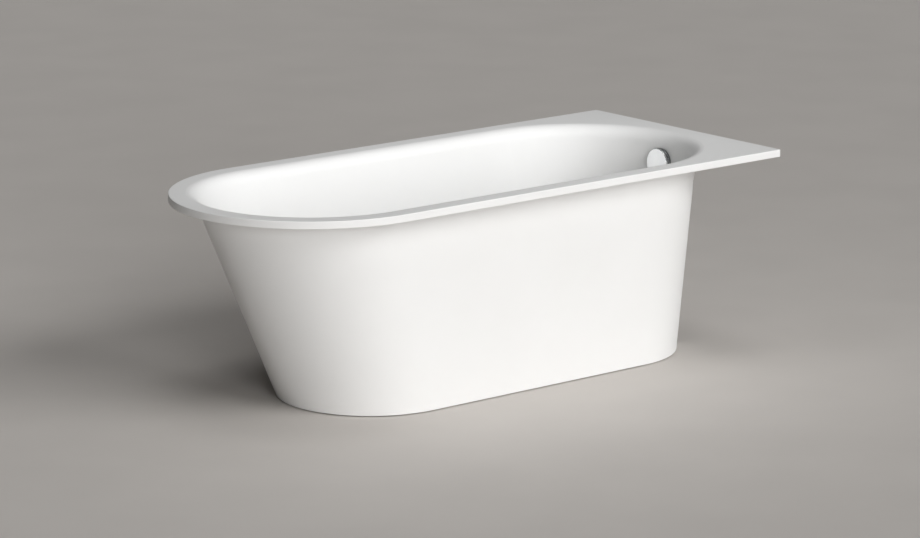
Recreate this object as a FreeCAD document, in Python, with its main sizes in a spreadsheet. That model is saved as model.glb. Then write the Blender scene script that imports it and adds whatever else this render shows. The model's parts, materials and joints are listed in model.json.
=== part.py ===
import FreeCAD
import Part
import math
import os
import re
import Sketcher

# Freestanding stone resin bath with a wide flat rim: round at the head, square at the foot.
# Millimetres, +Z up, +X towards the square foot end, origin under the middle of the rim on the floor.

Vector = FreeCAD.Vector
document = FreeCAD.newDocument("Bath")
sheet = document.addObject("Spreadsheet::Sheet", "Sizes")

SIZES = {
    # Rim plate
    "rim_length": 1650,
    "rim_width": 750,
    "rim_height": 560,
    "rim_thickness": 20,
    "rim_edge_round": 2,
    "rim_corner_round": 5,
    "rim_ledge": 43.5,
    "foot_ledge": 53,
    # Bathing well and the basin shell round it
    "lip_roll": 36,
    "well_floor": 130,
    "side_rake": 10,
    "head_rake": 30,
    "foot_rake": 3.5,
    "well_corner": 75,
    "shell_wall": 10,
    "shell_foot_wall": 8,
    "shell_floor": 12,
    "shell_corner": 85,
    "neck_wall": 5.2,
    "scarf_depth": 50,
    # Skirt
    "skirt_overhang": 67.6,
    "skirt_top_foot_inset": 72.6,
    "skirt_wall": 10,
    "skirt_base_overhang": 123,
    "skirt_base_head_inset": 300.5,
    "skirt_base_foot_inset": 118,
    "floor_gap": 3,
    "glue_gap": 0.5,
    "service_width": 240,
    "service_drop": 20,
    "service_corner": 60,
    # Boards, rails and feet
    "board_to_rod": 35,
    "board_width": 110,
    "board_thickness": 18,
    "head_rail_inset": 545,
    "foot_rail_inset": 525,
    "rail_bend": 3,
    "rail_past_rod": 30,
    "rail_width": 40,
    "rail_depth": 25,
    "rail_gauge": 2,
    "feet_inset": 190,
    "rod_radius": 6,
    "rod_above_rail": 8,
    "rod_chamfer": 1.5,
    "rod_foot_radius": 14,
    "rod_foot_height": 4,
    "pad_radius": 24,
    "pad_height": 12,
    "pad_recess": 4,
    "nut_flats": 19,
    "weld_nut_height": 10,
    "lock_nut_height": 7,
    "thread_play": 0.06,
    "screw_radius": 2.5,
    "screw_depth": 14,
    "screw_head_radius": 5,
    "screw_head_height": 2.5,
    "screw_inset": 30,
    "screw_pitch": 70,
    # Waste in the floor
    "waste_inset": 280,
    "drain_hole_radius": 26,
    "flange_radius": 35.5,
    "flange_recess": 3,
    "flange_plate": 2,
    "flange_bore_radius": 22,
    "flange_sleeve_radius": 24.7,
    "flange_sleeve_depth": 34,
    "flange_seat": 3,
    "spider_hub_radius": 7,
    "spider_hub_height": 8,
    "spider_rib_width": 3,
    "running_gap": 0.3,
    "plug_radius": 31,
    "plug_edge": 3,
    "plug_crown": 3,
    "plug_skirt_radius": 20.5,
    "plug_skirt_depth": 9,
    "plug_seal_radius": 1.8,
    "plug_seal_drop": 4.5,
    "plug_stem_radius": 4,
    "plug_stem_length": 45,
    "plug_stem_chamfer": 3.4,
    "plug_stem_gap": 0.6,
    "stem_play": 0.06,
    # Waste body under the floor
    "body_seal_height": 3,
    "body_flange_radius": 36,
    "body_flange_height": 4,
    "body_radius": 30,
    "body_bore_radius": 25,
    "body_bottom_drop": 48,
    "body_floor": 4,
    "spout_radius": 20,
    "spout_wall": 2.5,
    "spout_length": 42,
    "inlet_drop": 26,
    "inlet_reach": 62,
    "socket_wall": 2.4,
    "socket_play": 0.1,
    # Lift lever in the waste body and its crank outside
    "axle_radius": 2.5,
    "axle_reach": 40,
    "lever_arm": 18,
    "lever_tip_radius": 3,
    "lever_boss_radius": 5,
    "lever_width": 8,
    "lever_swing": 26,
    "crank_arm": 15,
    "crank_radius": 5,
    "crank_thickness": 4,
    "crank_offset": 34,
    "crank_slot_depth": 7.5,
    "lug_width": 6,
    "lug_radius": 5,
    # Trap
    "trap_radius": 50,
    "trap_wall": 3,
    "trap_bottom": 12,
    "trap_top": 60,
    "trap_weir": 45,
    "trap_weir_offset": 27,
    "trap_collar_radius": 25,
    "trap_collar_height": 3,
    "trap_nut_radius": 30,
    "trap_nut_height": 5,
    "outlet_level": 37,
    "outlet_stub": 64,
    "coupling_wall": 6,
    "coupling_length": 26,
    "spigot_step": 0.5,
    "spigot_reach": 13.5,
    "outlet_end": 152,
    # Overflow
    "overflow_drop": 82.5,
    "overflow_hole_radius": 26,
    "seat_radius": 42.5,
    "seat_wall": 6,
    "back_seat_radius": 38,
    "trim_radius": 40.5,
    "trim_seal_height": 1.5,
    "trim_seal_width": 11.5,
    "trim_plate": 2.5,
    "trim_depth": 8,
    "trim_wall": 2.5,
    "trim_liner_radius": 25.5,
    "trim_liner_wall": 2,
    "trim_liner_depth": 13,
    "trim_port_radius": 5,
    "trim_port_circle": 15.5,
    "trim_port_count": 4,
    "trim_hub_radius": 8,
    "trim_hub_height": 4.5,
    "knob_gap": 1.5,
    "knob_radius": 40,
    "knob_thickness": 6,
    "knob_edge_round": 1.2,
    "knob_socket_depth": 3,
    "knob_swing": 90,
    "spindle_radius": 3,
    "elbow_seal_height": 2,
    "elbow_flange_radius": 36,
    "elbow_flange_height": 4,
    "elbow_radius": 30,
    "elbow_wall": 3,
    "elbow_depth": 46,
    "elbow_spout_inset": 24,
    "elbow_bush_radius": 7,
    "elbow_bush_height": 7,
    "elbow_spout_reach": 60,
    "elbow_post_radius": 4.5,
    "elbow_post_height": 38,
    "trim_screw_radius": 2,
    "trim_screw_head_radius": 4,
    "trim_screw_head_height": 2,
    "trim_screw_depth": 28,
    "drum_gap": 1,
    "drum_width": 7,
    "drum_flange_radius": 10,
    "drum_flange_width": 1.5,
    # Overflow pipe and control cable
    "pipe_radius": 16,
    "pipe_wall": 1.8,
    "pipe_insert": 22,
    "pipe_knee_radius": 55,
    "pipe_nut_wall": 5,
    "pipe_nut_length": 18,
    "cable_radius": 2.5,
    "wire_radius": 0.75,
    "wire_nipple_radius": 2.5,
    "wire_nipple_length": 4,
    # Cutting tools run this far past the faces they cut
    "overrun": 5,
}

for row, (alias, number) in enumerate(SIZES.items(), start=1):
    sheet.set("A%d" % row, alias)
    sheet.set("B%d" % row, str(number))
    sheet.setAlias("B%d" % row, alias)
document.recompute()

# Worked-out sizes, each a formula in the names above or in the ones before it
FORMULAS = {
    "rim_radius": "rim_width / 2",
    "rim_under": "rim_height - rim_thickness",
    "foot_edge": "rim_length / 2",
    "head_centre": "rim_length / 2 - rim_radius",
    # Flat inner edge of the rim, where the lip starts to roll
    "mouth_radius": "rim_radius - rim_ledge",
    "mouth_foot_centre": "foot_edge - foot_ledge - mouth_radius",
    # Where the raked walls would meet the top plane if the lip were sharp
    "throat_radius": "mouth_radius - lip_roll * tan(45 - side_rake / 2)",
    "throat_head_tip": "head_centre + mouth_radius - lip_roll * tan(45 - head_rake / 2)",
    "throat_foot_tip": "foot_edge - foot_ledge - lip_roll * tan(45 - foot_rake / 2)",
    "shell_under": "well_floor - shell_floor",
    "scarf_foot": "rim_under - scarf_depth",
    # Shell thickness along X at the raked ends and along Y at the sides
    "head_wall": "shell_wall / cos(head_rake)",
    "foot_wall": "shell_foot_wall / cos(foot_rake)",
    "side_wall": "shell_wall / cos(side_rake)",
    # Surface of the rolled lip at the underside of the rim
    "neck_radius": "mouth_radius - sqrt(2 * lip_roll * rim_thickness - rim_thickness ^ 2)",
    # Skirt
    "skirt_top_radius": "rim_radius - skirt_overhang",
    "skirt_top_foot": "foot_edge - skirt_top_foot_inset - skirt_top_radius",
    "skirt_base_radius": "rim_radius - skirt_base_overhang",
    "skirt_base_head": "foot_edge - skirt_base_head_inset - skirt_base_radius",
    "skirt_base_foot": "foot_edge - skirt_base_foot_inset - skirt_base_radius",
    # Feet set in from the long sides, and the rails, boards and screws between them
    "feet_spread": "rim_width - 2 * feet_inset",
    "rail_length": "feet_spread + 2 * rail_past_rod",
    "board_length": "feet_spread - 2 * board_to_rod",
    "screw_outer_spread": "board_length - 2 * screw_inset",
    "screw_inner_spread": "screw_outer_spread - 2 * screw_pitch",
    # Stack under the floor of the well
    "board_under": "shell_under - board_thickness",
    "rail_web_under": "board_under - rail_gauge",
    "rod_top": "board_under + rod_above_rail",
    "head_rail_x": "head_rail_inset - foot_edge",
    "foot_rail_x": "foot_edge - foot_rail_inset",
    # Waste
    "waste_x": "foot_edge - waste_inset",
    "seal_seat": "well_floor - flange_recess",
    "plug_seal_circle": "flange_bore_radius - running_gap - plug_seal_radius",
    "body_top": "shell_under - body_seal_height",
    "inlet_level": "body_top - inlet_drop",
    "socket_bore": "pipe_radius + socket_play",
    "socket_radius": "socket_bore + socket_wall",
    "stem_bottom": "well_floor - plug_stem_length",
    "axle_level": "stem_bottom - plug_stem_gap - lever_tip_radius + lever_arm * sin(lever_swing / 2)",
    "axle_x": "waste_x - lever_arm * cos(lever_swing / 2)",
    "wire_level": "axle_level - crank_arm",
    "nipple_x": "axle_x - crank_arm * sin(lever_swing / 2) - crank_radius - running_gap",
    # Overflow
    "overflow_level": "rim_height - overflow_drop",
    "overflow_x": "throat_foot_tip - overflow_drop * tan(foot_rake)",
    "elbow_front": "-seat_wall - elbow_seal_height",
    "elbow_back": "elbow_front - elbow_depth",
    "elbow_spout_axis": "elbow_front - elbow_spout_inset",
    "trim_front": "trim_seal_height + trim_depth",
    "knob_back": "trim_front + knob_gap",
    "drum_front": "elbow_back - drum_gap",
    "drum_middle": "drum_front - drum_width / 2",
    # Winding on the drum takes up as much wire as the crank's swing gives out
    "drum_radius": "crank_arm * lever_swing / knob_swing",
    "wire_line": "drum_radius + wire_radius",
}


def tie(formula):
    """The formula with every name replaced by its cell of the sheet or by its own formula."""
    def swap(match):
        name = match.group(0)
        if name in FORMULAS:
            return "(" + tie(FORMULAS[name]) + ")"
        return "Sizes." + name if name in SIZES else name
    return re.sub(r"[a-z][a-z_]*", swap, formula)


def size(formula):
    """The formula's value in millimetres or degrees."""
    found = sheet.evalExpression(tie(formula))
    return float(getattr(found, "Value", found))


def bind(thing, prop, formula):
    thing.setExpression(prop, tie(formula))


def locate(thing, x="0", y="0", z="0"):
    """Ties the placement of a sub-part to the sheet."""
    thing.Placement.Base = Vector(size(x), size(y), size(z))
    for axis, formula in zip("xyz", (x, y, z)):
        if formula != "0":
            bind(thing, "Placement.Base." + axis, formula)


def origin_plane(body, role):
    return next(f for f in body.Origin.OriginFeatures if f.Role == role)


def start_body(label):
    body = document.addObject("PartDesign::Body", label)
    body.Label = label
    return body


def start_sketch(body, role, name, offset="0"):
    sketch = body.newObject("Sketcher::SketchObject", name)
    sketch.AttachmentSupport = [(origin_plane(body, role), "")]
    sketch.MapMode = "FlatFace"
    if offset != "0":
        bind(sketch, "AttachmentOffset.Base.z", offset)
    return sketch


def fix_point(sketch, geometry, point, x, y):
    """Ties one point of a sketch to two formulas, measured from the sketch's origin."""
    for kind, formula, axis in (("DistanceX", x, -2), ("DistanceY", y, -1)):
        number = size(formula)
        if abs(number) < 1e-9:
            sketch.addConstraint(Sketcher.Constraint("PointOnObject", geometry, point, axis))
            continue
        ends = (-1, 1, geometry, point) if number > 0 else (geometry, point, -1, 1)
        index = sketch.addConstraint(Sketcher.Constraint(kind, *ends, abs(number)))
        bind(sketch, "Constraints[%d]" % index, formula if number > 0 else "-(" + formula + ")")


def draw_outline(sketch, corners):
    """A closed outline of straight edges through corners given as pairs of formulas."""
    points = [Vector(size(x), size(y), 0) for x, y in corners]
    first = sketch.GeometryCount
    for index, point in enumerate(points):
        sketch.addGeometry(Part.LineSegment(point, points[(index + 1) % len(points)]), False)
    for index, (x, y) in enumerate(corners):
        before = first + (index - 1) % len(points)
        sketch.addConstraint(Sketcher.Constraint("Coincident", before, 2, first + index, 1))
        fix_point(sketch, first + index, 1, x, y)


def draw_circle(sketch, x, y, radius):
    index = sketch.addGeometry(Part.Circle(Vector(size(x), size(y), 0), Vector(0, 0, 1), size(radius)), False)
    fix_point(sketch, index, 3, x, y)
    constraint = sketch.addConstraint(Sketcher.Constraint("Radius", index, size(radius)))
    bind(sketch, "Constraints[%d]" % constraint, radius)


def draw_oval(sketch, head, foot, radius):
    """Two half circles of one radius joined by tangents; head lies on -X and foot on +X."""
    head_x, foot_x, r = size(head), size(foot), size(radius)
    quarter = math.pi / 2
    head_circle = Part.Circle(Vector(-head_x, 0, 0), Vector(0, 0, 1), r)
    round_head = Part.ArcOfCircle(head_circle, quarter, 3 * quarter)
    round_foot = Part.ArcOfCircle(Part.Circle(Vector(foot_x, 0, 0), Vector(0, 0, 1), r), -quarter, quarter)
    near = Part.LineSegment(Vector(-head_x, -r, 0), Vector(foot_x, -r, 0))
    far = Part.LineSegment(Vector(foot_x, r, 0), Vector(-head_x, r, 0))
    for shape in (round_head, near, round_foot, far):
        sketch.addGeometry(shape, False)
    for one, two in ((0, 1), (1, 2), (2, 3), (3, 0)):
        sketch.addConstraint(Sketcher.Constraint("Tangent", one, 2, two, 1))
    sketch.addConstraint(Sketcher.Constraint("PointOnObject", 0, 3, -1))
    sketch.addConstraint(Sketcher.Constraint("PointOnObject", 2, 3, -1))
    at_head = sketch.addConstraint(Sketcher.Constraint("DistanceX", 0, 3, -1, 1, head_x))
    at_foot = sketch.addConstraint(Sketcher.Constraint("DistanceX", -1, 1, 2, 3, foot_x))
    across = sketch.addConstraint(Sketcher.Constraint("Radius", 2, r))
    for index, formula in ((at_head, head), (at_foot, foot), (across, radius)):
        bind(sketch, "Constraints[%d]" % index, formula)


def oval_loft(body, kind, name, levels):
    """A loft with straight walls between ovals, each given as (level, head, foot, radius)."""
    sections = []
    for index, (level, head, foot, radius) in enumerate(levels):
        sketch = start_sketch(body, "XY_Plane", "%s_section_%d" % (name, index), level)
        draw_oval(sketch, head, foot, radius)
        sections.append(sketch)
    document.recompute()
    loft = body.newObject("PartDesign::" + kind, name)
    loft.Profile = sections[0]
    loft.Sections = sections[1:]
    loft.Ruled = True
    document.recompute()
    return loft


def round_edges(body, name, radius, wanted):
    """Rounds the edges of the body so far that the given test accepts."""
    base = body.Tip
    chosen = ["Edge%d" % (i + 1) for i, edge in enumerate(base.Shape.Edges) if wanted(edge)]
    if not chosen:
        raise ValueError("no edge found for " + name)
    fillet = body.newObject("PartDesign::Fillet", name)
    fillet.Base = (base, chosen)
    bind(fillet, "Radius", radius)
    document.recompute()
    return fillet


def lies_at(edge, level):
    """True for an edge that lies in the horizontal plane at the level."""
    tolerance = size("rim_thickness") / 1000
    box = edge.BoundBox
    return abs(box.ZMin - level) < tolerance and abs(box.ZMax - level) < tolerance


def cut_cylinder(body, name, radius, length, placement):
    """A round cut in a body, along the placement's own +Z."""
    cylinder = body.newObject("PartDesign::SubtractiveCylinder", name)
    bind(cylinder, "Radius", radius)
    bind(cylinder, "Height", length)
    cylinder.Placement = placement
    return cylinder


def turned(label, corners, x="0", y="0", z="0"):
    """A piece turned about its own Z axis from an outline of (radius, height) formulas."""
    body = start_body(label)
    sketch = start_sketch(body, "XZ_Plane", label + "_profile")
    draw_outline(sketch, corners)
    document.recompute()
    turn = body.newObject("PartDesign::Revolution", label + "_turn")
    turn.Profile = sketch
    turn.ReferenceAxis = (sketch, ["V_Axis"])
    turn.Angle = 360
    document.recompute()
    locate(body, x, y, z)
    return body


def ring(label, inner, outer, low, high, x="0", y="0", z="0"):
    """A plain turned ring."""
    return turned(label, [(inner, low), (outer, low), (outer, high), (inner, high)], x, y, z)


def feature(label, shape):
    thing = document.addObject("Part::Feature", label)
    thing.Label = label
    thing.Shape = shape
    return thing


# Places of the oval sections
def offset_oval(level, wall_head, wall_foot, wall_side):
    """The well's section at a level below the sharp throat, grown outwards by a wall."""
    drop = "(rim_height - (%s))" % level
    radius = "(throat_radius - %s * tan(side_rake) + %s)" % (drop, wall_side)
    head = "(throat_head_tip - %s * tan(head_rake) + %s - %s)" % (drop, wall_head, radius)
    foot = "(throat_foot_tip - %s * tan(foot_rake) + %s - %s)" % (drop, wall_foot, radius)
    return (level, head, foot, radius)


def shell_levels(grow):
    """Outside of the basin shell from the neck down, grown by the glue gap for the skirt's cut."""
    neck = ("rim_under", "head_centre", "mouth_foot_centre", "(neck_radius + neck_wall + %s)" % grow)
    walls = ["(%s + %s)" % (wall, grow) for wall in ("head_wall", "foot_wall", "side_wall")]
    return [neck, offset_oval("scarf_foot", *walls), offset_oval("shell_under", *walls)]


WELL = [offset_oval(level, "0", "0", "0") for level in ("rim_height", "well_floor")]

# Frame of the overflow on the foot wall: its own +Z points into the well, its own +X up the wall
overflow_frame = FreeCAD.Placement(
    Vector(size("overflow_x"), 0, size("overflow_level")),
    FreeCAD.Rotation(Vector(0, -1, 0), 90 - size("foot_rake")),
)


def on_overflow(along="0"):
    """Placement at a height along the overflow's own axis."""
    return overflow_frame.multiply(FreeCAD.Placement(Vector(0, 0, size(along)), FreeCAD.Rotation()))


def seat_on_overflow(thing, along="0"):
    """Puts a piece on the overflow's axis, tied to the sheet."""
    thing.Placement = on_overflow(along)
    bind(thing, "Placement.Base.x", "overflow_x - (%s) * cos(foot_rake)" % along)
    bind(thing, "Placement.Base.z", "overflow_level + (%s) * sin(foot_rake)" % along)
    bind(thing, "Placement.Rotation.Angle", "90 - foot_rake")
    return thing


# Basin: the wide rim plate and the well, cast in one thin shell of stone resin
basin = start_body("basin")
rim_sketch = start_sketch(basin, "XY_Plane", "rim_outline", "rim_under")
rim_r, rim_foot, rim_head = size("rim_radius"), size("foot_edge"), size("head_centre")
rim_sketch.addGeometry(Part.ArcOfCircle(
    Part.Circle(Vector(-rim_head, 0, 0), Vector(0, 0, 1), rim_r), math.pi / 2, 3 * math.pi / 2), False)
rim_corners = [(-rim_head, -rim_r), (rim_foot, -rim_r), (rim_foot, rim_r), (-rim_head, rim_r)]
for start, end in zip(rim_corners, rim_corners[1:]):
    rim_sketch.addGeometry(Part.LineSegment(Vector(*start, 0), Vector(*end, 0)), False)
rim_sketch.addConstraint(Sketcher.Constraint("Tangent", 0, 2, 1, 1))
rim_sketch.addConstraint(Sketcher.Constraint("Tangent", 3, 2, 0, 1))
rim_sketch.addConstraint(Sketcher.Constraint("Coincident", 1, 2, 2, 1))
rim_sketch.addConstraint(Sketcher.Constraint("Coincident", 2, 2, 3, 1))
rim_sketch.addConstraint(Sketcher.Constraint("PointOnObject", 0, 3, -1))
fix_point(rim_sketch, 1, 2, "foot_edge", "-rim_radius")
fix_point(rim_sketch, 2, 2, "foot_edge", "rim_radius")
rim_at_head = rim_sketch.addConstraint(Sketcher.Constraint("DistanceX", 0, 3, -1, 1, rim_head))
bind(rim_sketch, "Constraints[%d]" % rim_at_head, "head_centre")
document.recompute()
rim_pad = basin.newObject("PartDesign::Pad", "rim_plate")
rim_pad.Profile = rim_sketch
bind(rim_pad, "Length", "rim_thickness")
document.recompute()
round_edges(basin, "rim_corners", "rim_corner_round",
            lambda edge: edge.BoundBox.ZLength > size("rim_thickness / 2")
            and edge.BoundBox.XMin > size("foot_edge - rim_edge_round"))
round_edges(basin, "rim_edges", "rim_edge_round", lambda edge: edge.BoundBox.ZLength < size("rim_edge_round"))
oval_loft(basin, "AdditiveLoft", "shell", shell_levels("0"))
oval_loft(basin, "SubtractiveLoft", "well", WELL)
round_edges(basin, "well_corners", "well_corner", lambda edge: lies_at(edge, size("well_floor")))
round_edges(basin, "shell_corners", "shell_corner", lambda edge: lies_at(edge, size("shell_under")))
round_edges(basin, "lip", "lip_roll", lambda edge: lies_at(edge, size("rim_height"))
            and edge.BoundBox.XMax < size("foot_edge - foot_ledge")
            and edge.BoundBox.YMax < size("mouth_radius") and edge.BoundBox.YMin > size("-mouth_radius"))
drain = cut_cylinder(basin, "drain_hole", "drain_hole_radius", "shell_floor + 2 * overrun",
                     FreeCAD.Placement())
locate(drain, "waste_x", "0", "shell_under - overrun")
drain_recess = cut_cylinder(basin, "drain_recess", "flange_radius + running_gap", "flange_recess + overrun",
                            FreeCAD.Placement())
locate(drain_recess, "waste_x", "0", "seal_seat")
for name, radius, length, along in (
    ("overflow_hole", "overflow_hole_radius", "2 * overrun + 2 * shell_wall", "-overrun - 1.5 * shell_wall"),
    ("overflow_seat", "seat_radius", "2 * overrun", "0"),
    ("overflow_back_seat", "back_seat_radius", "2 * overrun", "-seat_wall - 2 * overrun"),
):
    seat_on_overflow(cut_cylinder(basin, name, radius, length, FreeCAD.Placement()), along)
document.recompute()

# Skirt: the straight-walled outer shell, bonded under the rim in a long scarf round the basin's neck
skirt = start_body("skirt")
SKIRT_TOP = ("rim_under", "head_centre", "skirt_top_foot", "skirt_top_radius")
SKIRT_BASE = ("floor_gap", "skirt_base_head", "skirt_base_foot", "skirt_base_radius")


def thinner(section, wall):
    level, head, foot, radius = section
    return (level, head, foot, "(%s - %s)" % (radius, wall))


oval_loft(skirt, "AdditiveLoft", "skirt_outside", [SKIRT_BASE, SKIRT_TOP])
oval_loft(skirt, "SubtractiveLoft", "skirt_inside", [thinner(SKIRT_BASE, "skirt_wall"),
                                                     thinner(SKIRT_TOP, "skirt_wall")])
oval_loft(skirt, "SubtractiveLoft", "skirt_scarf", shell_levels("glue_gap"))
# The foot end turns to the wall, so it is left open there for the waste and overflow set
arch = start_sketch(skirt, "YZ_Plane", "service_outline", "skirt_base_foot")
arch_half, arch_low = "service_width / 2", "-overrun"
arch_high, arch_side = "rim_under - service_drop", "rim_under - service_drop - service_corner"
arch_ways = [("-", -1), ("", 1)]
arch_corner = size("service_corner")
for mark, way in arch_ways:
    centre = Vector(way * size("service_width / 2 - service_corner"), size(arch_side), 0)
    turn_start = 0 if way > 0 else math.pi / 2
    arch.addGeometry(Part.ArcOfCircle(Part.Circle(centre, Vector(0, 0, 1), arch_corner),
                                      turn_start, turn_start + math.pi / 2), False)
for start, end in (((arch_half, arch_low), (arch_half, arch_side)),
                   (("service_width / 2 - service_corner", arch_high),
                    ("service_corner - service_width / 2", arch_high)),
                   (("-" + arch_half, arch_side), ("-" + arch_half, arch_low)),
                   (("-" + arch_half, arch_low), (arch_half, arch_low))):
    arch.addGeometry(Part.LineSegment(Vector(size(start[0]), size(start[1]), 0),
                                      Vector(size(end[0]), size(end[1]), 0)), False)
for one, one_end, two, two_end in ((2, 2, 1, 1), (1, 2, 3, 1), (3, 2, 0, 1), (0, 2, 4, 1)):
    arch.addConstraint(Sketcher.Constraint("Tangent", one, one_end, two, two_end))
arch.addConstraint(Sketcher.Constraint("Coincident", 4, 2, 5, 1))
arch.addConstraint(Sketcher.Constraint("Coincident", 5, 2, 2, 1))
fix_point(arch, 4, 2, "-" + arch_half, arch_low)
fix_point(arch, 2, 1, arch_half, arch_low)
arch.addConstraint(Sketcher.Constraint("Equal", 0, 1))
arch_round = arch.addConstraint(Sketcher.Constraint("Radius", 1, arch_corner))
bind(arch, "Constraints[%d]" % arch_round, "service_corner")
arch_top = arch.addConstraint(Sketcher.Constraint("DistanceY", -1, 1, 3, 1, size(arch_high)))
bind(arch, "Constraints[%d]" % arch_top, arch_high)
document.recompute()
service = skirt.newObject("PartDesign::Pocket", "service_opening")
service.Profile = arch
service.Reversed = True
bind(service, "Length", "foot_edge - skirt_base_foot")
document.recompute()


def drill(body, name, places, radius, depth, offset="0", upwards=True):
    """Round pockets at pairs of formulas, from a level plane of the body."""
    sketch = start_sketch(body, "XY_Plane", name + "_places", offset)
    for x, y in places:
        draw_circle(sketch, x, y, radius)
    document.recompute()
    pocket = body.newObject("PartDesign::Pocket", name)
    pocket.Profile = sketch
    pocket.Reversed = upwards
    bind(pocket, "Length", depth)
    document.recompute()
    return pocket


# Plywood boards bonded under the well's floor, and folded steel rails screwed up into them
SCREW_ROW = [("0", sign + spread + " / 2") for spread in ("screw_inner_spread", "screw_outer_spread")
             for sign in ("", "-")]
ROD_ROW = [("0", "feet_spread / 2"), ("0", "-feet_spread / 2")]
for end in ("head", "foot"):
    board = start_body(end + "_board")
    board_sketch = start_sketch(board, "XY_Plane", end + "_board_outline")
    draw_outline(board_sketch, [
        ("-board_width / 2", "-board_length / 2"), ("board_width / 2", "-board_length / 2"),
        ("board_width / 2", "board_length / 2"), ("-board_width / 2", "board_length / 2"),
    ])
    document.recompute()
    board_pad = board.newObject("PartDesign::Pad", end + "_board_pad")
    board_pad.Profile = board_sketch
    bind(board_pad, "Length", "board_thickness")
    document.recompute()
    drill(board, end + "_pilot_holes", SCREW_ROW, "screw_radius + thread_play", "screw_depth + running_gap")
    locate(board, end + "_rail_x", "0", "board_under")

    rail = start_body(end + "_rail")
    rail_sketch = start_sketch(rail, "XZ_Plane", end + "_rail_profile")
    draw_outline(rail_sketch, [
        ("-rail_width / 2", "0"), ("-rail_width / 2", "-rail_depth"),
        ("rail_gauge - rail_width / 2", "-rail_depth"), ("rail_gauge - rail_width / 2", "-rail_gauge"),
        ("rail_width / 2 - rail_gauge", "-rail_gauge"), ("rail_width / 2 - rail_gauge", "-rail_depth"),
        ("rail_width / 2", "-rail_depth"), ("rail_width / 2", "0"),
    ])
    document.recompute()
    rail_pad = rail.newObject("PartDesign::Pad", end + "_rail_pad")
    rail_pad.Profile = rail_sketch
    rail_pad.Midplane = True
    bind(rail_pad, "Length", "rail_length")
    document.recompute()
    round_edges(rail, end + "_rail_bends", "rail_bend",
                lambda edge: abs(edge.BoundBox.ZMin) < size("rail_gauge / 9")
                and abs(edge.BoundBox.ZMax) < size("rail_gauge / 9")
                and edge.Length > size("rail_length / 2"))
    drill(rail, end + "_rod_holes", ROD_ROW, "rod_radius + running_gap",
          "2 * rail_gauge", "-1.5 * rail_gauge")
    drill(rail, end + "_screw_holes", SCREW_ROW, "screw_radius + running_gap",
          "2 * rail_gauge", "-1.5 * rail_gauge")
    locate(rail, end + "_rail_x", "0", "board_under")


def nut_shape(height, x, y, z):
    """A hexagon nut with its bore, standing on z."""
    reach = size("nut_flats") / math.sqrt(3)
    corners = [Vector(x + reach * math.cos(math.pi / 3 * k), y + reach * math.sin(math.pi / 3 * k), z)
               for k in range(7)]
    prism = Part.Face(Part.makePolygon(corners)).extrude(Vector(0, 0, height))
    bore = Part.makeCylinder(size("rod_radius + thread_play"), height, Vector(x, y, z))
    return prism.cut(bore)


def screw_shape(shank_radius, shank_length, head_radius, head_height):
    """A pan-head screw: the head stands below z = 0 and the shank above it."""
    head = Part.makeCylinder(head_radius, head_height, Vector(0, 0, -head_height))
    rim = [edge for edge in head.Edges if abs(edge.BoundBox.ZMax + head_height) < head_height / 9]
    return head.makeFillet(head_height / 2, rim).fuse(Part.makeCylinder(shank_radius, shank_length))


rod_places = [(size(end + "_rail_x"), side * size("feet_spread / 2"))
              for end in ("head", "foot") for side in (-1, 1)]
feature("weld_nuts", Part.makeCompound([
    nut_shape(size("weld_nut_height"), x, y, size("rail_web_under - weld_nut_height"))
    for x, y in rod_places]))
feature("lock_nuts", Part.makeCompound([
    nut_shape(size("lock_nut_height"), x, y, size("rail_web_under - weld_nut_height - lock_nut_height"))
    for x, y in rod_places]))
rail_screw = screw_shape(size("screw_radius"), size("screw_depth + rail_gauge"), size("screw_head_radius"),
                         size("screw_head_height"))
feature("rail_screws", Part.makeCompound([
    rail_screw.translated(Vector(size(end + "_rail_x"), size(y), size("rail_web_under")))
    for end in ("head", "foot") for x, y in SCREW_ROW]))

# Four levelling feet: a threaded rod on a round base, standing in a plastic pad
for end in ("head", "foot"):
    for side, sign in (("near", "-"), ("far", "")):
        turned("%s_%s_rod" % (end, side), [
            ("0", "pad_height - pad_recess"), ("rod_foot_radius", "pad_height - pad_recess"),
            ("rod_foot_radius", "pad_height - pad_recess + rod_foot_height"),
            ("rod_radius", "pad_height - pad_recess + rod_foot_height"),
            ("rod_radius", "rod_top - rod_chamfer"), ("rod_radius - rod_chamfer", "rod_top"), ("0", "rod_top"),
        ], end + "_rail_x", sign + "feet_spread / 2")
        turned("%s_%s_pad" % (end, side), [
            ("0", "0"), ("pad_radius - rod_chamfer", "0"), ("pad_radius", "rod_chamfer"),
            ("pad_radius", "pad_height - pad_recess"), ("pad_radius - pad_recess", "pad_height"),
            ("rod_foot_radius + running_gap", "pad_height"),
            ("rod_foot_radius + running_gap", "pad_height - pad_recess"), ("0", "pad_height - pad_recess"),
        ], end + "_rail_x", sign + "feet_spread / 2")

# Waste in the floor: polished flange with a spider that guides the plug's stem
flange = turned("waste_flange", [
    ("flange_bore_radius", "-flange_sleeve_depth"), ("flange_sleeve_radius", "-flange_sleeve_depth"),
    ("flange_sleeve_radius", "-flange_plate"), ("flange_radius", "-flange_plate"), ("flange_radius", "0"),
    ("flange_bore_radius + flange_seat", "0"), ("flange_bore_radius", "-flange_seat"),
], "waste_x", "0", "well_floor")
rib_sketch = start_sketch(flange, "XY_Plane", "spider_rib_outline", "-flange_sleeve_depth")
rib_end = "(flange_bore_radius + flange_sleeve_radius) / 2"
draw_outline(rib_sketch, [("-" + rib_end, "-spider_rib_width / 2"), (rib_end, "-spider_rib_width / 2"),
                          (rib_end, "spider_rib_width / 2"), ("-" + rib_end, "spider_rib_width / 2")])
document.recompute()
rib = flange.newObject("PartDesign::Pad", "spider_rib")
rib.Profile = rib_sketch
bind(rib, "Length", "spider_hub_height")
document.recompute()
ribs = flange.newObject("PartDesign::PolarPattern", "spider_ribs")
ribs.Originals = [rib]
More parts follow.
